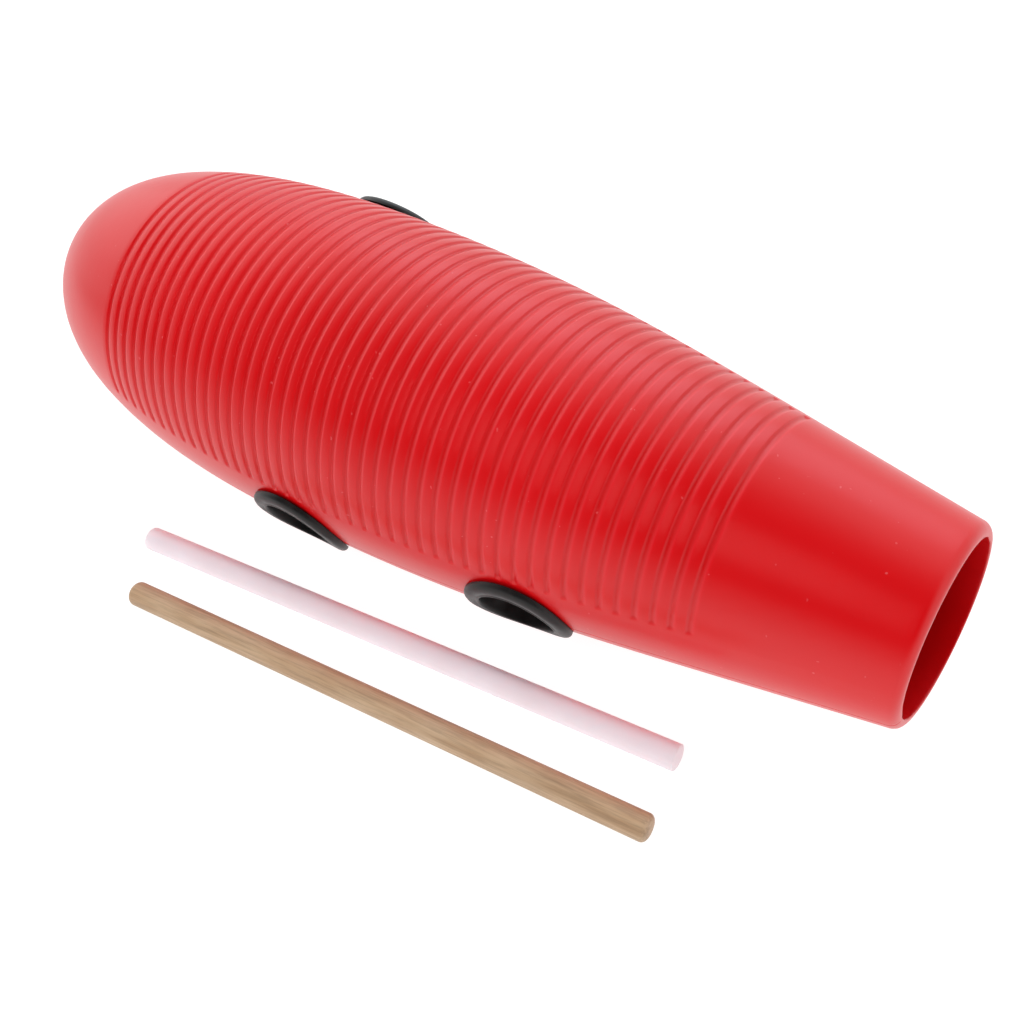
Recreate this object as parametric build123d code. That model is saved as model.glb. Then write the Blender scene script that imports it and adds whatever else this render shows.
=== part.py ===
from build123d import *
import os

# A moulded guiro with its two scrapers, lying on a table. Millimetres, +Z up.
# The body is modelled in its own axes first: X from nose to mouth, Z out through the middle of
# the ribs, and the joint between the two mouldings in the XY plane. place() then lays it down.

# Body
body_length = 338.2          # nose tip to mouth plane
belly_radius = 54.0          # widest radius
wall = 3.4                   # shell wall
profile_stations = [         # (share of the length, share of the widest radius)
    (0.0, 0.0),
    (0.05, 0.548),
    (0.16, 0.866),
    (0.385, 1.0),
    (0.63, 0.912),
    (0.84, 0.716),
    (1.0, 0.548),
]
mouth_taper = 0.165          # slope of the cone where it meets the mouth
rim_round = 3.1              # rounding of the mouth's outer edge
curve_spans = 12             # pieces of an offset wall line
beyond = 100.0               # reach of cutters that must clear the body

# Ribs
rib_count = 43
rib_pitch = 5.187
first_crest = 66.4           # nose to the first crest
groove_width = 2.2           # from the start of the sloping wall to the crest
groove_depth = 0.6
groove_lead = 0.8            # sloping wall on the nose side
groove_wall = 0.9            # steeper wall on the mouth side, under the crest
groove_clear = 1.0           # how far the cutter stands out of the surface
groove_floor_height = 18.0   # grooves run out at this height above the joint

# Lap joint between the two mouldings
lap_height = 3.0
lap_thickness = 1.2
lap_gap = 0.15
lap_root = 3.0
lap_short_of_mouth = 5.0
lap_bite = 0.5               # how far the lip's foot is sunk into the wall
lap_hole_clear = 0.6         # lip to the grommet's flange

# Finger and thumb holes, on the joint: the front is the player's side
front_holes = {"rear_finger_grommet": 145.0, "front_finger_grommet": 228.0}
back_holes = {"thumb_grommet": 115.0}
hole_radius = 14.0           # hole in the shells
grommet_bore = 12.0          # radius that a finger passes
grommet_radius = 17.3        # both flanges
grommet_proud = 2.3          # outer flange above the shell
grommet_inside = 1.8         # inner flange below the wall
grommet_round = 0.8          # both edges of the outer flange
grommet_flatness = 0.3       # of the outer flange: 0 bends with the body, 1 is flat
neck_share = 0.8             # the neck is sunk into the flange up to this share of its height
seat_gap = 0.1               # flange to wall
neck_gap = 0.1               # grommet neck to the hole's edge
patch_margin = 6.0           # piece of wall around a grommet, past its flange
patch_half_turn = 40
patch_spans = 6

# Scrapers
scraper_radius = 4.0
wooden_length = 186.0
wooden_round = 1.5
plastic_length = 198.0
plastic_edge = 0.4
scraper_middle = 0.5951      # share of the body length
wooden_yaw = 3.8
plastic_yaw = 4.5
plastic_middle_back = 13.0   # how much nearer the nose the plastic one lies
wooden_out = 25.7            # past the belly's side
plastic_out = 0.7

# How the body lies
roll = 37.0                  # ribs turned from straight up towards the player
tilt = 3.3                   # mouth down, resting on the belly


def wall_line(points):
    # leaves the nose square to the axis and reaches the mouth on the cone
    return Spline(*points, tangents=[(0, 1), (1, -mouth_taper)], tangent_scalars=[1, 1])


def outer_curve():
    return wall_line([(body_length * u, belly_radius * v) for u, v in profile_stations])


def at_offset(t, offset):
    # point `offset` outside the curve, along its normal
    at, along = curve @ t, curve % t
    return (at.X - along.Y * offset, at.Y + along.X * offset)


def parameter_at(x):
    # halve the curve's parameter range until it closes on x
    low, high = 0.0, 1.0
    for step in range(40):
        middle = (low + high) / 2
        if (curve @ middle).X < x:
            low = middle
        else:
            high = middle
    return low


def radius_at(x):
    return (curve @ parameter_at(x)).Y


def inner_curve(offset, end):
    # the whole wall line moved in by -offset, carried on to x = end
    points = [at_offset((i / curve_spans) ** 1.3, offset) for i in range(curve_spans + 1)]
    points[0] = (-offset, 0)
    last = points[-1]
    points[-1] = (end, last[1] - mouth_taper * (end - last[0]))
    return wall_line(points)


def half_skin(outside, inside, end, upward):
    # half of a shell of revolution between two wall lines, above or below the joint
    outer = curve if outside == 0 else inner_curve(outside, end)
    inner = inner_curve(inside, end)
    rim = Line(outer @ 1, inner @ 1)
    foot = Line(inner @ 0, outer @ 0)
    face = make_face([outer, rim, inner, foot])
    turn = 180 if upward else -180
    return revolve(face, Axis.X, turn)


def slab(low, high):
    middle = (low + high) / 2
    return Pos(body_length / 2, 0, middle) * Box(body_length * 2, beyond * 2, high - low)


def hole_plane(x, side):
    # origin on the outer surface, Z along its normal, in the plane of the joint
    ahead, behind = radius_at(x + 0.5), radius_at(x - 0.5)
    slope = ahead - behind
    return Plane(origin=(x, side * radius_at(x), 0), x_dir=(1, side * slope, 0), z_dir=(-slope, side, 0))


def peg(plane, radius):
    return plane.location * Cylinder(radius, beyond / 2)


def all_hole_planes():
    planes = {name: hole_plane(x, -1) for name, x in front_holes.items()}
    planes.update({name: hole_plane(x, 1) for name, x in back_holes.items()})
    return planes


def half_shell(upward):
    shell = half_skin(0, -wall, body_length, upward)
    mouth_edge = shell.edges().filter_by(GeomType.CIRCLE).sort_by(SortBy.LENGTH)[-1]
    shell = fillet(mouth_edge, rim_round)
    for plane in all_hole_planes().values():
        shell -= peg(plane, hole_radius)
    return shell


def groove(crest):
    start = crest - groove_width
    steeper = groove_clear / groove_depth
    outline = [
        (start - groove_lead * steeper, radius_at(start) + groove_clear),
        (start + groove_lead, radius_at(start + groove_lead) - groove_depth),
        (crest - groove_wall, radius_at(crest) - groove_depth),
        (crest + groove_wall * steeper, radius_at(crest) + groove_clear),
    ]
    return revolve(make_face(Polyline(*outline, close=True)), Axis.X)


def make_ribbed_shell():
    shell = half_shell(True)
    upper = slab(groove_floor_height, beyond)
    for k in range(rib_count):
        shell -= groove(first_crest + k * rib_pitch) & upper
    return shell


def make_back_shell():
    shell = half_shell(False)
    lip_end = body_length - lap_short_of_mouth
    inside = -wall - lap_gap - lap_thickness
    lip = half_skin(-wall - lap_gap, inside, lip_end, True) & slab(0, lap_height)
    lip += half_skin(-wall + lap_bite, inside, lip_end, False) & slab(-lap_root, 0)
    for plane in all_hole_planes().values():
        lip -= peg(plane, grommet_radius + lap_hole_clear)
    return shell + lip


def patch(plane, outside, inside, flatness=0):
    # piece of shell of revolution around a hole, between two offsets. The flatter it is, the
    # further away the line it turns about.
    x, reach = plane.origin.X, grommet_radius + patch_margin
    low, high = parameter_at(x - reach), parameter_at(x + reach)
    steps = [low + (high - low) * i / patch_spans for i in range(patch_spans + 1)]
    top = Spline(*[at_offset(t, outside) for t in steps])
    bottom = Spline(*[at_offset(t, inside) for t in steps])
    face = make_face([top, Line(top @ 1, bottom @ 1), bottom, Line(bottom @ 0, top @ 0)])
    away = radius_at(x) * flatness / (1 - flatness)
    middle, half_turn = Axis((0, -away, 0), (1, 0, 0)), patch_half_turn * (1 - flatness)
    piece = revolve(face, middle, 2 * half_turn).rotate(middle, -half_turn)
    return piece if plane.origin.Y > 0 else Rot(180, 0, 0) * piece


def make_grommet(plane):
    neck_top = grommet_proud * neck_share
    ring = patch(plane, neck_top, -wall - grommet_inside) & peg(plane, grommet_radius)
    ring -= patch(plane, grommet_proud, -wall - seat_gap) - peg(plane, hole_radius - neck_gap)
    ring += patch(plane, grommet_proud, seat_gap, grommet_flatness) & peg(plane, grommet_radius)
    ring -= peg(plane, grommet_bore)
    outer_edges = ring.edges().sort_by(Axis(plane.origin, plane.z_dir))[-2:]
    return fillet(outer_edges, grommet_round)


def place():
    return Rot(0, tilt, 0) * Rot(roll, 0, 0)


def make_scraper(length, end_size, rounded):
    rod = Cylinder(scraper_radius, length)
    ends = rod.edges().filter_by(GeomType.CIRCLE)
    rod = fillet(ends, end_size) if rounded else chamfer(ends, end_size)
    return Rot(0, 90, 0) * rod


def lay_scrapers():
    x = body_length * scraper_middle
    wooden = make_scraper(wooden_length, wooden_round, True)
    plastic = make_scraper(plastic_length, plastic_edge, False)
    wooden = Pos(x, -belly_radius - wooden_out, scraper_radius) * Rot(0, 0, wooden_yaw) * wooden
    at = Pos(x - plastic_middle_back, -belly_radius - plastic_out, scraper_radius)
    plastic = at * Rot(0, 0, plastic_yaw) * plastic
    return {"wooden_scraper": wooden, "plastic_scraper": plastic}


def build():
    guiro = {"ribbed_shell": make_ribbed_shell(), "back_shell": make_back_shell()}
    for name, plane in all_hole_planes().items():
        guiro[name] = make_grommet(plane)
    laid = {name: place() * shape for name, shape in guiro.items()}
    drop = -min(shape.bounding_box().min.Z for shape in laid.values())
    parts = {name: Pos(0, 0, drop) * shape for name, shape in laid.items()}
    parts.update(lay_scrapers())
    boxes = [shape.bounding_box() for shape in parts.values()]
    middle_x = (min(b.min.X for b in boxes) + max(b.max.X for b in boxes)) / 2
    middle_y = (min(b.min.Y for b in boxes) + max(b.max.Y for b in boxes)) / 2
    return {name: Pos(-middle_x, -middle_y, 0) * shape for name, shape in parts.items()}


curve = outer_curve()
os.makedirs("parts", exist_ok=True)
for name, shape in build().items():
    export_step(shape, f"parts/{name}.step")
    box = shape.bounding_box()
    print(name, shape.is_valid, round(shape.volume / 1000, 2), "cm3", [round(v, 1) for v in box.size])
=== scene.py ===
# %% [markdown]
# # A moulded guiro and its two scrapers
# A guiro is a hollow gourd with a ribbed face, played by drawing a stick along the ribs. This one is
# two red plastic mouldings joined along their length, with rubber rings in its finger holes.
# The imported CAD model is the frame: it fixes every place and size, and each visible piece below
# is a finer surface laid over its own CAD solid.

# %% The frame
import math

import bmesh
import bpy
import numpy as np
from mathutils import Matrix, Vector


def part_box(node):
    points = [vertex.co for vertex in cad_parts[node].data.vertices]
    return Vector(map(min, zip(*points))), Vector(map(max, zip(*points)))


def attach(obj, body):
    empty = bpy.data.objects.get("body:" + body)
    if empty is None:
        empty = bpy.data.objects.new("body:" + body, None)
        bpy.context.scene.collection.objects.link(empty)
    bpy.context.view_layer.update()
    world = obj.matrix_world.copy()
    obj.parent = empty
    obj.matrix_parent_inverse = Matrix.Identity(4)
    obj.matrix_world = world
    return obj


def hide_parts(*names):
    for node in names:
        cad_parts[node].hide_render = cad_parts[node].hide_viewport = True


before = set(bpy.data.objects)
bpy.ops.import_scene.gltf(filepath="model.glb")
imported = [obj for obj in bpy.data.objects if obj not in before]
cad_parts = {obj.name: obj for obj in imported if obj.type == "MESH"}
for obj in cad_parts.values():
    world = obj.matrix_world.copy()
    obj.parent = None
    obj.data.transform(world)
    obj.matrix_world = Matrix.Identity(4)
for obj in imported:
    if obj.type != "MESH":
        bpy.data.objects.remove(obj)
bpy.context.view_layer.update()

# %% [markdown]
# ## The body's own axes
# The gourd lies on its belly with the mouth a little down, and its ribs are turned towards the
# player. It is easiest to shape it upright in its own axes, X from nose to mouth and Z out through
# the ribs, and to lay the finished points down afterwards. The sizes are the CAD model's,
# in metres.

# %% Sizes shared with the CAD model
mm = 0.001
body_length = 338.2 * mm
belly_radius = 54 * mm
wall = 3.4 * mm
rim_round = 3.1 * mm
lip_round = 0.35 * mm
tilt = math.radians(3.3)
roll = math.radians(37)

shell_low = np.minimum(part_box("ribbed_shell")[0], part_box("back_shell")[0])
shell_high = np.maximum(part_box("ribbed_shell")[1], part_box("back_shell")[1])
print("both mouldings span", (shell_high - shell_low).round(4))

# %% [markdown]
# ## The wall line
# Half of the gourd's outline, from the nose tip to the mouth, could be traced by hand as a Bezier
# curve. Here it is one smooth cubic through seven stations, the same rule as the CAD model's,
# so the new surfaces and the collision shapes agree to a few hundredths of a millimetre.

# %% A smooth cubic through stations
stations = np.array([
    (0.0, 0.0),
    (0.05, 0.548),
    (0.16, 0.866),
    (0.385, 1.0),
    (0.63, 0.912),
    (0.84, 0.716),
    (1.0, 0.548),
]) * (body_length, belly_radius)
mouth_taper = 0.165


def smooth_cubic(points, first_slope, last_slope, samples):
    """Cubic pieces between the points, with time equal to the straight distance between them. The
    slope at each point is the one that makes curvature continuous, from one linear system."""
    gap = np.linalg.norm(np.diff(points, axis=0), axis=1)
    count = len(points)
    matrix = np.eye(count)
    target = np.array([first_slope, *points[1:-1], last_slope], dtype=float)
    inner = np.arange(1, count - 1)
    matrix[inner, inner - 1] = gap[1:]
    matrix[inner, inner] = 2 * (gap[:-1] + gap[1:])
    matrix[inner, inner + 1] = gap[:-1]
    rise = np.diff(points, axis=0) / gap[:, None]
    target[inner] = 3 * (gap[1:, None] * rise[:-1] + gap[:-1, None] * rise[1:])
    slope = np.linalg.solve(matrix, target)
    knots = np.concatenate(([0], np.cumsum(gap)))
    time = np.linspace(0, knots[-1], samples)
    piece = np.clip(np.searchsorted(knots, time, side="right") - 1, 0, count - 2)
    h = gap[piece][:, None]
    u = ((time - knots[piece]) / gap[piece])[:, None]
    return (
        (1 + 2 * u) * (1 - u) ** 2 * points[piece]
        + u * (1 - u) ** 2 * h * slope[piece]
        + u**2 * (3 - 2 * u) * points[piece + 1]
        + u**2 * (u - 1) * h * slope[piece + 1]
    )


wall_line = smooth_cubic(stations, (0, 1), (1, -mouth_taper), 6000)
along = np.gradient(wall_line, axis=0)
along /= np.linalg.norm(along, axis=1)[:, None]
outward = np.stack([-along[:, 1], along[:, 0]], axis=1)
distance = np.concatenate(([0], np.cumsum(np.linalg.norm(np.diff(wall_line, axis=0), axis=1))))
print("wall line is", round(distance[-1], 4), "m long, widest radius", wall_line[:, 1].max().round(5))


def radius_at(x):
    """Outer radius of the gourd at x along its axis."""
    return np.interp(x, wall_line[:, 0], wall_line[:, 1])


def offset_line(x, offset):
    """Points of the wall line at x, moved outwards along its normal: (x, radius)."""
    steps = np.interp(x, wall_line[:, 0], np.arange(len(wall_line)))
    pick = np.arange(len(wall_line))
    at = [np.interp(steps, pick, wall_line[:, k] + offset * outward[:, k]) for k in (0, 1)]
    return np.stack(at, axis=-1)


# %% Laying the gourd down
turn_roll = np.array([
    (1, 0, 0),
    (0, math.cos(roll), -math.sin(roll)),
    (0, math.sin(roll), math.cos(roll)),
])
turn_tilt = np.array([
    (math.cos(tilt), 0, math.sin(tilt)),
    (0, 1, 0),
    (-math.sin(tilt), 0, math.cos(tilt)),
])
lowest = -wall_line[:, 0] * math.sin(tilt) - wall_line[:, 1] * math.cos(tilt)
nose = np.array([shell_low[0], (shell_low[1] + shell_high[1]) / 2, -lowest.min()])


def lay_down(points):
    """Turns points about the gourd's axis by the roll, then mouth down by the tilt, and moves the
    nose tip to its place above the table."""
    return points @ (turn_tilt @ turn_roll).T + nose


print("nose tip at", nose.round(4))

# %% [markdown]
# ## From a grid to a mesh
# Every shell below is a stack of closed rings of points: ring i goes round the wall's section at
# station i. Joining each ring to the next with quads gives a watertight skin, and the ends are
# closed by merging a ring that has shrunk to a point, or by one flat face.

# %% Mesh from rings
def mesh_from_rings(name, rings, close_last=False, attributes=None):
    """rings[i, j] is point j of closed ring i. Quad (i, j) joins j and j + 1 on rings i and i + 1,
    counted round the ring. close_last puts one flat face on the last ring."""
    n, m = rings.shape[:2]
    index = np.arange(n * m).reshape(n, m)
    after = np.roll(index, -1, axis=1)
    quads = np.stack([index[:-1], after[:-1], after[1:], index[1:]], axis=-1).reshape(-1, 4)
    faces = quads.tolist()
    if close_last:
        faces.append(index[-1].tolist())
    mesh = bpy.data.meshes.new(name)
    mesh.from_pydata(rings.reshape(-1, 3).tolist(), [], faces)
    for key, values in (attributes or {}).items():
        layer = mesh.attributes.new(key, "FLOAT", "POINT")
        layer.data.foreach_set("value", values.reshape(-1).astype(np.float32))
    return mesh


def finish_mesh(mesh, sharp=35):
    """Merges points that coincide, as at a pole, turns every face outwards and shades it smooth
    except across edges sharper than the angle."""
    work = bmesh.new()
    work.from_mesh(mesh)
    bmesh.ops.remove_doubles(work, verts=work.verts, dist=2e-6)
    bmesh.ops.dissolve_degenerate(work, dist=1e-7, edges=work.edges)
    bmesh.ops.recalc_face_normals(work, faces=work.faces)
    open_edges = sum(not e.is_manifold for e in work.edges)
    work.to_mesh(mesh)
    work.free()
    mesh.shade_smooth()
    mesh.set_sharp_from_angle(angle=math.radians(sharp))
    mesh.calc_loop_triangles()
    print(mesh.name, len(mesh.loop_triangles), "triangles,", open_edges, "open edges")
    return mesh


def add_piece(mesh, material, body, node):
    """Shows a mesh as a piece that rides on a CAD body and stands for one CAD node."""
    piece = bpy.data.objects.new(mesh.name, mesh)
    bpy.context.scene.collection.objects.link(piece)
    mesh.materials.append(material)
    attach(piece, body)
    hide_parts(node)


# %% [markdown]
# ## Material helpers
# The finishes are node graphs on Object coordinates, which here are simply metres in the shared
# frame, so a noise scale of 500 means a grain of about two millimetres. A small helper keeps each
# graph readable: it makes a node, sets its values and joins its inputs in one line.

# %% Node helper
def new_material(name):
    """A material with an empty graph, its surface shader and its output."""
    material = bpy.data.materials.new(name)
    material.use_nodes = True
    graph = material.node_tree
    graph.nodes.clear()
    shader = graph.nodes.new("ShaderNodeBsdfPrincipled")
    output = graph.nodes.new("ShaderNodeOutputMaterial")
    graph.links.new(shader.outputs["BSDF"], output.inputs["Surface"])
    return material, graph, shader


def node(graph, kind, settings=None, **inputs):
    """Adds a node. settings are its own options, and inputs are values or other nodes' outputs."""
    made = graph.nodes.new("ShaderNode" + kind)
    for key, value in (settings or {}).items():
        setattr(made, key, value)
    for key, value in inputs.items():
        socket = made.inputs[int(key[1:])] if key[0] == "_" else made.inputs[key.replace("_", " ")]
        if hasattr(value, "links"):
            graph.links.new(value, socket)
        else:
            socket.default_value = value
    return made


def ramp(graph, value, stops):
    """A colour ramp from (place, grey or colour) stops."""
    made = node(graph, "ValToRGB", Fac=value)
    band = made.color_ramp
    while len(band.elements) < len(stops):
        band.elements.new(0.5)
    for element, (place, colour) in zip(band.elements, stops):
        element.position = place
        element.color = (*colour, 1) if np.ndim(colour) else (colour, colour, colour, 1)
    return made.outputs["Color"]


def noise(graph, where, scale, detail=2.0, roughness=0.5):
    """Fractal noise, grains of about 1 / scale metres."""
    made = node(graph, "TexNoise", Vector=where, Scale=scale, Detail=detail, Roughness=roughness)
    return made.outputs["Fac"]


def blend_colour(graph, amount, first, second, kind="MIX"):
    """Mixes two colours or outputs by amount."""
    made = node(graph, "Mix", {"data_type": "RGBA", "blend_type": kind}, _0=amount, _6=first, _7=second)
    return made.outputs[2]


def bump(graph, height, strength, depth, under=None):
    """A bump from a height output. depth is the real height in metres between 0 and 1."""
    made = node(graph, "Bump", Height=height, Strength=strength, Distance=depth)
    if under is not None:
        graph.links.new(under, made.inputs["Normal"])
    return made.outputs["Normal"]


# %% [markdown]
# ## Red moulded plastic
# The body is red styrene straight from the mould: strong colour under a satin skin that turns
# pale where it is seen edge on. The mould's fine texture is a very shallow noise bump, and the sheen
# varies a little in broad patches where the plastic flowed. The grooves are darkened by their depth,
# which is painted shade, and the crests that the stick rubs are a little paler, part wear and part a
# painted highlight. Those follow the ribs, so they come from attributes that the shell's own
# surface function fills in.

# %% Red plastic
def red_plastic():
    """Satin red, with painted shade in the grooves, crests lightened by wear and a painted highlight,
    and flecked with fine dust.
    """
    material, graph, shader = new_material("red_plastic")
    where = node(graph, "TexCoord").outputs["Object"]
    crest = node(graph, "Attribute", {"attribute_name": "crest"}).outputs["Fac"]
    depth = node(graph, "Attribute", {"attribute_name": "depth"}).outputs["Fac"]
    flow = noise(graph, where, 14, 3)
    grain = noise(graph, where, 1400, 2)
    peel = noise(graph, where, 260, 2)
    base = ramp(graph, flow, [(0.3, (0.73, 0.0015, 0.004)), (0.7, (0.79, 0.0025, 0.006))])
    # Paler crests: part wear, part a painted highlight along each crest.
    crest_wear_and_highlight = node(graph, "Math", {"operation": "MULTIPLY"}, _0=crest, _1=0.5).outputs[0]
    base = blend_colour(graph, crest_wear_and_highlight, base, (0.88, 0.016, 0.028, 1))
    # Painted shade: the grooves are darkened towards a deep red by their depth.
    painted_groove_shade = node(graph, "Math", {"operation": "MULTIPLY"}, _0=depth, _1=0.22).outputs[0]
    base = blend_colour(graph, painted_groove_shade, base, (0.50, 0.001, 0.002, 1))
    specks = noise(graph, where, 560, 1)
    specks = ramp(graph, specks, [(0.775, 0.0), (0.80, 0.6)])
    base = blend_colour(graph, specks, base, (0.86, 0.13, 0.14, 1))
    graph.links.new(base, shader.inputs["Base Color"])
    sheen = node(graph, "MapRange", Value=flow, From_Min=0.3, From_Max=0.7, To_Min=0.285, To_Max=0.335)
    graph.links.new(sheen.outputs[0], shader.inputs["Roughness"])
    fine = bump(graph, grain, 0.5, 0.00002)
    graph.links.new(bump(graph, peel, 0.6, 0.00006, fine), shader.inputs["Normal"])
    shader.inputs["IOR"].default_value = 1.52
    shader.inputs["Subsurface Weight"].default_value = 0.06
    shader.inputs["Subsurface Scale"].default_value = 0.002
    shader.inputs["Subsurface Radius"].default_value = (1.0, 0.15, 0.1)
    return material


red = red_plastic()

# %% [markdown]
# ## Black rubber, wood and milky plastic
# The rings are plain moulded rubber, nearly black, with a soft highlight and a trace of dust. The
# wooden stick is a sanded hardwood dowel: its grain runs along the stick, so its noise is
# stretched along a Mapping node turned to the stick's own direction. The other stick is a milky
# nylon-like rod, which lets some light in below its skin.

# %% Rubber
def black_rubber():
    """Near black with a soft sheen and a dusty mottle."""
    material, graph, shader = new_material("black_rubber")
    where = node(graph, "TexCoord").outputs["Object"]
    mottle = noise(graph, where, 180, 4, 0.6)
    base = ramp(graph, mottle, [(0.35, (0.005, 0.005, 0.005)), (0.75, (0.014, 0.013, 0.013))])
    graph.links.new(base, shader.inputs["Base Color"])
    sheen = node(graph, "MapRange", Value=mottle, From_Min=0.3, From_Max=0.7, To_Min=0.34, To_Max=0.5)
    graph.links.new(sheen.outputs[0], shader.inputs["Roughness"])
    graph.links.new(bump(graph, noise(graph, where, 1600, 2), 0.4, 0.00003), shader.inputs["Normal"])
    return material


def stick_coordinates(graph, place, yaw):
    """Object coordinates centred on a stick and turned so that X runs along it."""
    where = node(graph, "TexCoord").outputs["Object"]
    turned = node(graph, "Mapping", {"vector_type": "TEXTURE"}, Vector=where)
    turned.inputs["Location"].default_value = place
    turned.inputs["Rotation"].default_value = (0, 0, yaw)
    return turned.outputs["Vector"]


def dowel_wood(place, yaw):
    """Long fibres: noise squeezed to a twentieth along the stick, darker pores and broad bands."""
    material, graph, shader = new_material("wood")
    where = stick_coordinates(graph, place, yaw)
    drawn = node(graph, "Mapping", Vector=where)
    drawn.inputs["Scale"].default_value = (0.05, 1, 1)
    fibres = noise(graph, drawn.outputs["Vector"], 1500, 4, 0.65)
    bands = noise(graph, drawn.outputs["Vector"], 260, 3, 0.55)
    blotch = noise(graph, where, 60, 2)
    tones = [(0.3, (0.50, 0.33, 0.20)), (0.5, (0.60, 0.42, 0.27)), (0.72, (0.40, 0.25, 0.14))]
    base = ramp(graph, bands, tones)
    streak = ramp(graph, fibres, [(0.36, 0.78), (0.55, 1.0)])
    base = blend_colour(graph, 1.0, base, streak, "MULTIPLY")
    tint = ramp(graph, blotch, [(0.3, (0.92, 0.86, 0.80)), (0.7, (1.0, 1.0, 1.0))])
    base = blend_colour(graph, 1.0, base, tint, "MULTIPLY")
    graph.links.new(base, shader.inputs["Base Color"])
    shader.inputs["Roughness"].default_value = 0.55
    graph.links.new(bump(graph, fibres, 0.5, 0.00008), shader.inputs["Normal"])
    return material


def milky_plastic(place, yaw):
    """Pale, light let in below the skin, faint draw lines along the rod."""
    material, graph, shader = new_material("white_plastic")
    where = stick_coordinates(graph, place, yaw)
    drawn = node(graph, "Mapping", Vector=where)
    drawn.inputs["Scale"].default_value = (0.03, 1, 1)
    lines = noise(graph, drawn.outputs["Vector"], 900, 3)
    cloud = noise(graph, where, 45, 2)
    base = ramp(graph, cloud, [(0.3, (0.88, 0.77, 0.82)), (0.7, (0.92, 0.82, 0.88))])
    graph.links.new(base, shader.inputs["Base Color"])
    shader.inputs["Roughness"].default_value = 0.38
    shader.inputs["Subsurface Weight"].default_value = 0.5
    shader.inputs["Subsurface Scale"].default_value = 0.006
    shader.inputs["Subsurface Radius"].default_value = (1.0, 0.8, 0.8)
    graph.links.new(bump(graph, lines, 0.4, 0.00004), shader.inputs["Normal"])
    return material


rubber = black_rubber()
print("materials", [m.name for m in bpy.data.materials])

# %% [markdown]
# ## The ribs
# Each groove is a shallow rounded channel, steep towards the nose, that rises gently to a crest on
# its mouth side. A stick catches those crests one after another. Booleans would leave ragged
# triangles, so the groove is a depth that is taken off the radius, written as one short profile
# that repeats with the pitch.

# %% Groove profile
rib_count = 43
rib_pitch = 5.187 * mm
first_crest = 66.4 * mm
groove_deepest = 0.56 * mm
groove_run_out = 18.0 * mm
groove_fade = 0.8 * mm
crest_of = first_crest + rib_pitch * np.arange(rib_count)
groove_profile = np.array([  # distance from the crest, depth
    (-2.60, 0.00),
    (-2.40, 0.06),
    (-2.18, 0.25),
    (-1.96, 0.45),
    (-1.72, 0.55),
    (-1.44, 0.54),
    (-1.15, 0.45),
    (-0.86, 0.33),
    (-0.58, 0.21),
    (-0.30, 0.10),
    (-0.02, 0.03),
    (0.30, 0.00),
    (1.30, -0.02),
]) * mm
# How much each point of the groove profile is paled: wear on the crest together with a painted
# highlight.
wear_and_highlight_profile = np.array([0, 0, 0, 0, 0, 0, 0.1, 0.3, 0.7, 1.0, 0.7, 0.2, 0])


def groove_depth(x, height):
    """Depth cut from the radius at x, and how much it is paled by wear and a painted highlight: the
    profile measured from the nearest crest, faded out where the surface comes down to the run-out
    height above the joint."""
    profile_middle = groove_profile[[0, -1], 0].mean()
    nearest = np.clip(np.round((x - first_crest - profile_middle) / rib_pitch), 0, rib_count - 1)
    away = x - (first_crest + nearest * rib_pitch)
    cut = np.interp(away, groove_profile[:, 0], groove_profile[:, 1], left=0, right=0)
    wear_and_highlight = np.interp(away, groove_profile[:, 0], wear_and_highlight_profile, left=0, right=0)
    fade = np.clip((height - groove_run_out) / groove_fade + 0.5, 0, 1)
    fade = fade * fade * (3 - 2 * fade)
    return cut * fade, wear_and_highlight * fade


# %% Stations along the body
mouth_lean = math.atan(mouth_taper)
rim_start = body_length - rim_round * (1 - math.sin(mouth_lean))


def stations_along():
    """x of every ring: even steps of arc on the nose, every corner of every groove, and even
    steps again on the smooth cone."""
    arc = np.linspace(0, 1, 46) ** 1.2
    first = crest_of[0] + groove_profile[0, 0]
    nose_part = np.interp(arc * np.interp(first, wall_line[:, 0], distance), distance, wall_line[:, 0])
    ribs = (crest_of[:, None] + groove_profile[None, :, 0]).ravel()
    cone = np.linspace(ribs[-1], rim_start, 20)
    return np.concatenate([nose_part[:-1], ribs, cone[1:]])


ring_x = stations_along()
print(len(ring_x), "rings, smallest step", np.diff(ring_x).min().round(6))

# %% [markdown]
# ## The two mouldings
# Each moulding is half of the gourd: a curved wall, a flat edge that meets its partner, and half
# of each finger hole. One ring is the wall's section at a station: out along the outer face, over
# one edge, back along the inner face and over the other edge. Where the station crosses a hole,
# the edge simply starts higher up, which cuts the hole without any boolean.

# %% Holes on the joint
hole_radius = 14.0 * mm
shoulder_height = 16.6 * mm
holes = {  # distance from the nose, side: -1 is the player's
    "rear_finger": (145 * mm, -1),
    "front_finger": (228 * mm, -1),
    "thumb": (115 * mm, 1),
}
player_side_holes = np.array([at for at, side in holes.values() if side < 0])
thumb_side_holes = np.array([at for at, side in holes.values() if side > 0])


def edge_height(x, holes):
    """Height above the joint at which the wall starts: 0, or the hole's half circle."""
    reach = hole_radius**2 - (x[:, None] - holes[None, :]) ** 2
    return np.sqrt(np.clip(reach, 0, None)).max(axis=1)


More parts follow.
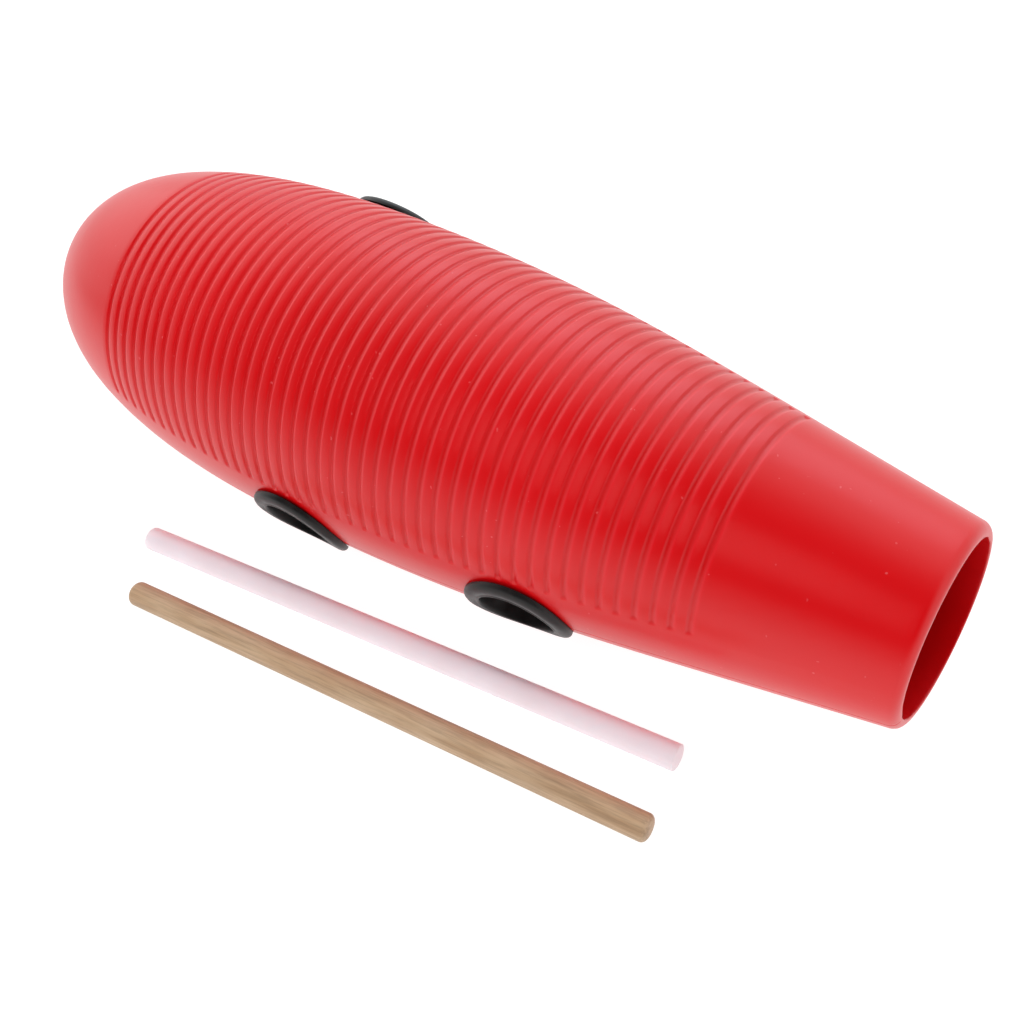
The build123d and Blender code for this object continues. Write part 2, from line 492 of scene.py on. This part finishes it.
def rows_round(x, radius, fine):
    """Angles of the points round a half section, from the player's side over the top to the thumb's
    side. Below the shoulder height the rows follow the edge, and above it they are fixed."""
    low = np.arcsin(np.clip(edge_height(x, player_side_holes) / np.maximum(radius, hole_radius), 0, 1))
    high = np.arcsin(np.clip(edge_height(x, thumb_side_holes) / np.maximum(radius, hole_radius), 0, 1))
    shoulder = np.arcsin(np.clip(shoulder_height / np.maximum(radius, 1e-6), 0, 0.5))
    near = np.array([0, 0.016, 0.06, 0.2, 0.4, 0.6, 0.8])
    ends = np.array([0, 0.004, 0.008, 0.012, 0.016, 0.020, 0.026, 0.034])
    middle = np.linspace(ends[-1], 1 - ends[-1], fine)
    between = np.concatenate([ends[:-1], middle, 1 - ends[:-1][::-1]])
    first = low[:, None] + (shoulder - low)[:, None] * near
    second = shoulder[:, None] + (math.pi - 2 * shoulder)[:, None] * between
    third = math.pi - high[:, None] - (shoulder - high)[:, None] * near[::-1]
    return np.concatenate([first, second, third], axis=1)


def rim_lines(outer, inner):
    """Carries both wall lines on to the mouth: the outer one round a quarter circle that meets the
    cone without a kink, the inner one to a small rounding of its own. Both gain as many points."""
    bend = np.linspace(math.pi / 2 - mouth_lean, 0, 9)[1:]
    centre = radius_at(body_length) + mouth_taper * rim_round - rim_round / math.cos(mouth_lean)
    round_over = np.stack([
        body_length - rim_round * (1 - np.cos(bend)),
        centre + rim_round * np.sin(bend),
    ], axis=-1)
    lip_start = (body_length - lip_round, inner[-1, 1] - mouth_taper * 2 * mm)
    straight = np.linspace(inner[-1], lip_start, 5)[1:]
    turn = np.linspace(0, math.pi / 2, 5)[1:]
    lip = straight[-1] + lip_round * np.stack([np.sin(turn), 1 - np.cos(turn)], axis=-1)
    return np.concatenate([outer, round_over]), np.concatenate([inner, straight, lip])


def half_shell(name, upward, ribbed):
    """Rings of one moulding: the ribbed half above the joint or the plain one below it. Its outer
    edge along the joint is broken a little, which leaves the fine parting line."""
    x = ring_x if ribbed else np.append(ring_x[:-1:4], ring_x[-1])
    inner_line = offset_line(x, -wall)
    inner_line[:, 1] = np.maximum(inner_line[:, 1], 0)
    outer_line, inner_line = rim_lines(np.stack([x, radius_at(x)], axis=-1), inner_line)
    sign = 1 if upward else -1
    x, radius = outer_line[:, :1], outer_line[:, 1:]
    angle = rows_round(x[:, 0], radius[:, 0], 76 if ribbed else 60)
    cut, wear_and_highlight = groove_depth(x, radius * np.sin(angle)) if ribbed else (0 * angle, 0 * angle)
    wave = 0.05 * mm * np.sin(x / (9 * mm) + 3 * angle) * np.sin(angle) ** 2
    outer_radius = radius - cut + np.where(x > 30 * mm, wave, 0)
    outer_radius[:, [0, -1]] -= np.minimum(0.25 * mm, 0.2 * radius)
    outer = np.stack([
        np.broadcast_to(x, angle.shape),
        -outer_radius * np.cos(angle),
        sign * outer_radius * np.sin(angle),
    ], axis=-1)
    pick = np.linspace(0, angle.shape[1] - 1, 44).round().astype(int)
    inner_angle = angle[:, pick[::-1]]
    inner = np.stack([
        np.broadcast_to(inner_line[:, :1], inner_angle.shape),
        -inner_line[:, 1:] * np.cos(inner_angle),
        sign * inner_line[:, 1:] * np.sin(inner_angle),
    ], axis=-1)
    rings = np.concatenate([outer, inner], axis=1)
    # The crest attribute carries the wear and painted highlight on the crests; depth feeds the painted
    # shade in the grooves.
    crest = np.concatenate([wear_and_highlight, 0 * inner_angle], axis=1)
    depth = np.concatenate([cut / groove_deepest, 0 * inner_angle], axis=1)
    mesh = mesh_from_rings(
        name, lay_down(rings), close_last=True, attributes={"crest": crest, "depth": depth}
    )
    return finish_mesh(mesh, 40)


# %% Both mouldings
add_piece(half_shell("ribbed_moulding", True, True), red, "guiro", "ribbed_shell")
add_piece(half_shell("back_moulding", False, False), red, "guiro", "back_shell")

# %% [markdown]
# ## Rubber rings in the holes
# A grommet is a ring with a groove round it, pushed into the hole so that a lip lies on each side
# of the wall. On a gourd it can't stay flat, so it saddles. The section is a closed line of
# (distance from the hole's axis, height above the outer face), swept round the hole while the
# height follows the gourd's own surface.

# %% Grommet section
outer_lip = [
    (15.80, 0.10), (17.30, 0.10), (17.32, 0.80), (17.16, 1.36), (16.72, 1.86), (16.02, 2.20),
    (15.00, 2.30), (14.00, 2.20), (13.40, 2.00), (13.05, 1.92), (12.75, 2.06), (12.42, 2.08),
    (12.18, 1.86), (12.06, 1.40), (12.01, 0.50),
]
inner_lip = [  # heights below the wall's inner face
    (12.00, 0.60), (12.00, -0.40), (12.08, -1.25), (12.40, -1.62), (12.90, -1.75), (15.60, -1.75),
    (16.60, -1.60), (17.15, -1.10), (17.30, -0.60), (17.30, -0.10), (15.60, -0.10), (13.90, -0.10),
    (13.90, 1.60),
]
ring_section = np.concatenate([
    np.array(outer_lip) * mm,
    np.array(inner_lip) * mm - (0, wall),
    np.array([(13.90, 0.10)]) * mm,
])
bends_less = np.array([0.3] * len(outer_lip) + [0] * len(inner_lip) + [0.3])


def grommet(name, hole_x, side):
    """Sweeps the section round the hole. A point at distance d and turn a lies at x = d cos a and
    z = d sin a from the hole's centre, on the gourd's surface, then out along the hole's axis. The
    rubber is stiff, so the outer lip bends less than the gourd and stands off it above and below."""
    turn = np.linspace(0, 2 * math.pi, 112, endpoint=False)[:, None]
    slope = (radius_at(hole_x + 0.5 * mm) - radius_at(hole_x - 0.5 * mm)) / mm
    lean = math.atan(slope)
    x = hole_x + ring_section[None, :, 0] * np.cos(turn) * math.cos(lean)
    z = ring_section[None, :, 0] * np.sin(turn)
    away = radius_at(hole_x) * bends_less / (1 - bends_less)
    surface = np.sqrt((radius_at(x) + away) ** 2 - z**2) - away
    out = np.broadcast_to(ring_section[None, :, 1], x.shape)
    points = np.stack([
        x - out * math.sin(lean),
        side * (surface + out * math.cos(lean)),
        z,
    ], axis=-1)
    points = np.concatenate([points, points[:1]], axis=0)
    return finish_mesh(mesh_from_rings(name, lay_down(points)), 50)


for hole, (at, side) in holes.items():
    ring = grommet(hole + "_ring", at, side)
    add_piece(ring, rubber, "guiro", hole + "_grommet")

# %% [markdown]
# ## The scrapers
# Two plain round sticks, one a wooden dowel with its ends rounded over, the other a plastic rod cut
# square with its edge just broken. Each is a profile turned about its own line, closed at both
# ends by rings that shrink to a point. Hand-sanded wood is never quite round, so the dowel's
# radius drifts by a few hundredths of a millimetre.

# %% Turned sticks
def stick(name, node_name, length, yaw, end_profile, drift, segments=56):
    """Turns a profile of (distance along, radius) about the stick's middle line, which lies in the
    middle of its CAD node's box."""
    low, high = (np.array(v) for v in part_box(node_name))
    centre = (low + high) / 2
    end = np.array(end_profile) * mm
    body = np.linspace(-length / 2 + end[-1, 0], length / 2 - end[-1, 0], 40)[1:-1]
    place = np.concatenate([-length / 2 + end[:, 0], body, length / 2 - end[::-1, 0]])
    radius = np.concatenate([end[:, 1], np.full(len(body), end[-1, 1]), end[::-1, 1]])
    turn = np.linspace(0, 2 * math.pi, segments, endpoint=False)[None, :]
    radius = radius[:, None] - drift * (1 + np.sin(place[:, None] / (31 * mm) + 2 * turn)) / 2
    radius = np.where(radius < 0.05 * mm, 0, radius)
    points = np.stack([
        np.broadcast_to(place[:, None], radius.shape),
        radius * np.cos(turn),
        radius * np.sin(turn),
    ], axis=-1)
    c, s = math.cos(yaw), math.sin(yaw)
    points = points @ np.array([(c, -s, 0), (s, c, 0), (0, 0, 1)]).T + centre
    return finish_mesh(mesh_from_rings(name, points), 45), tuple(centre)


rounded_end = [
    (0, 0), (0, 1.2), (0.01, 2.2), (0.10, 2.80), (0.36, 3.35), (0.75, 3.72), (1.2, 3.94), (1.6, 4.0),
]
square_end = [(0, 0), (0, 2.0), (0.0, 3.4), (0.04, 3.62), (0.14, 3.84), (0.30, 3.96), (0.5, 4.0)]
wooden_yaw = math.radians(3.8)
plastic_yaw = math.radians(4.5)
wooden_mesh, wooden_place = stick(
    "wooden_stick_turned", "wooden_scraper", 186 * mm, wooden_yaw, rounded_end, 0.04 * mm
)
plastic_mesh, plastic_place = stick(
    "plastic_rod_cut", "plastic_scraper", 198 * mm, plastic_yaw, square_end, 0
)
wood = dowel_wood(wooden_place, wooden_yaw)
milky = milky_plastic(plastic_place, plastic_yaw)
add_piece(wooden_mesh, wood, "wooden_stick", "wooden_scraper")
add_piece(plastic_mesh, milky, "plastic_stick", "plastic_scraper")

# %% [markdown]
# ## Floor, light and camera
# The set is shown on a plain white floor in soft studio light: one broad overhead source gives the
# pale band along the top of the gourd, a faint one at the nose end picks out the crests, and white
# surroundings light its edges. Glossy red only looks deep if it has something dark to reflect, so
# the floor and the surroundings are white where they are seen directly, and darker towards the
# player in reflections. The camera looks down from the player's side, turned towards the mouth.

# %% Floor
def studio_floor():
    """A large flat square just under the set, lit from within so that it stays a clean white. In
    reflections it dims towards the player, as the far edge of a sheet of paper does."""
    mesh = bpy.data.meshes.new("floor")
    corners = np.array([(-1, -1), (1, -1), (1, 1), (-1, 1)]) * 6.0
    mesh.from_pydata([(x, y, -0.0002) for x, y in corners], [], [(0, 1, 2, 3)])
    floor = bpy.data.objects.new("floor", mesh)
    bpy.context.scene.collection.objects.link(floor)
    material, graph, shader = new_material("floor_white")
    shader.inputs["Base Color"].default_value = (0.25, 0.25, 0.25, 1)
    shader.inputs["Roughness"].default_value = 0.9
    shader.inputs["Specular IOR Level"].default_value = 0.0
    shader.inputs["Emission Color"].default_value = (1, 1, 1, 1)
    where = node(graph, "SeparateXYZ", Vector=node(graph, "TexCoord").outputs["Object"])
    near = node(graph, "MapRange", Value=where.outputs["Y"], From_Min=-0.5, From_Max=0.0)
    glow = ramp(graph, near.outputs[0], [(0.0, 0.08), (0.6, 0.40), (0.85, 0.9)])
    direct = node(graph, "LightPath").outputs["Is Camera Ray"]
    glow = node(graph, "Math", {"operation": "MAXIMUM"}, _0=glow, _1=direct).outputs[0]
    glow = node(graph, "Math", {"operation": "MULTIPLY"}, _0=glow, _1=0.93).outputs[0]
    graph.links.new(glow, shader.inputs["Emission Strength"])
    mesh.materials.append(material)


studio_floor()


# %% Surroundings
def direction(azimuth, height):
    """Unit vector at so many degrees from +X round the table, and so many above it."""
    a, h = math.radians(azimuth), math.radians(height)
    return Vector((math.cos(a) * math.cos(h), math.sin(a) * math.cos(h), math.sin(h)))


def studio_surroundings():
    """White all round, but in reflections the nearer a direction is to the middle of a dark room on
    the player's side, the darker. It is what keeps the middle of the gourd a deep red."""
    world = bpy.data.worlds.new("studio")
    world.use_nodes = True
    graph = world.node_tree
    facing = node(graph, "TexCoord").outputs["Generated"]
    toward = node(graph, "VectorMath", {"operation": "DOT_PRODUCT"}, _0=facing, _1=direction(-84, 27))
    stops = [(0.34, 1.0), (0.55, 0.42), (0.75, 0.10), (0.92, 0.01)]
    glow = ramp(graph, toward.outputs["Value"], stops)
    direct = node(graph, "LightPath").outputs["Is Camera Ray"]
    glow = node(graph, "Math", {"operation": "MAXIMUM"}, _0=glow, _1=direct).outputs[0]
    background = graph.nodes["Background"]
    graph.links.new(glow, background.inputs["Color"])
    background.inputs["Strength"].default_value = 1.0
    bpy.context.scene.world = world
    bpy.context.scene.view_settings.view_transform = "Standard"


studio_surroundings()


# %% Light
def soft_light(name, toward, distance, size, power, colour=(1, 1, 1), shows=True):
    """A rectangular area light in a direction from the middle of the set, and facing it. shows
    tells whether it can be seen as a highlight."""
    data = bpy.data.lights.new(name, "AREA")
    data.shape = "RECTANGLE"
    data.size, data.size_y = size
    data.energy = power
    data.color = colour
    lamp = bpy.data.objects.new(name, data)
    lamp.location = toward * distance
    lamp.rotation_mode = "QUATERNION"
    lamp.rotation_quaternion = (-toward).to_track_quat("-Z", "Y")
    lamp.visible_glossy = shows
    bpy.context.scene.collection.objects.link(lamp)


soft_light("overhead", direction(105, 55), 1.3, (1.2, 0.7), 3, (0.7, 0.85, 1.0))
soft_light("side", direction(176, 32), 1.4, (1.0, 0.8), 1.2)
soft_light("fill", direction(-90, 35), 1.6, (1.0, 0.8), 13.5, shows=False)

# %% Camera
camera_data = bpy.data.cameras.new("camera")
camera_data.lens = 44.97
camera_data.sensor_width = 36
camera = bpy.data.objects.new("camera", camera_data)
camera.location = (nose[0] + 0.3995, nose[1] - 0.2775, 0.2573)
camera.rotation_euler = (math.radians(90 - 34.2), 0, math.radians(36.26))
bpy.context.scene.collection.objects.link(camera)
bpy.context.scene.camera = camera
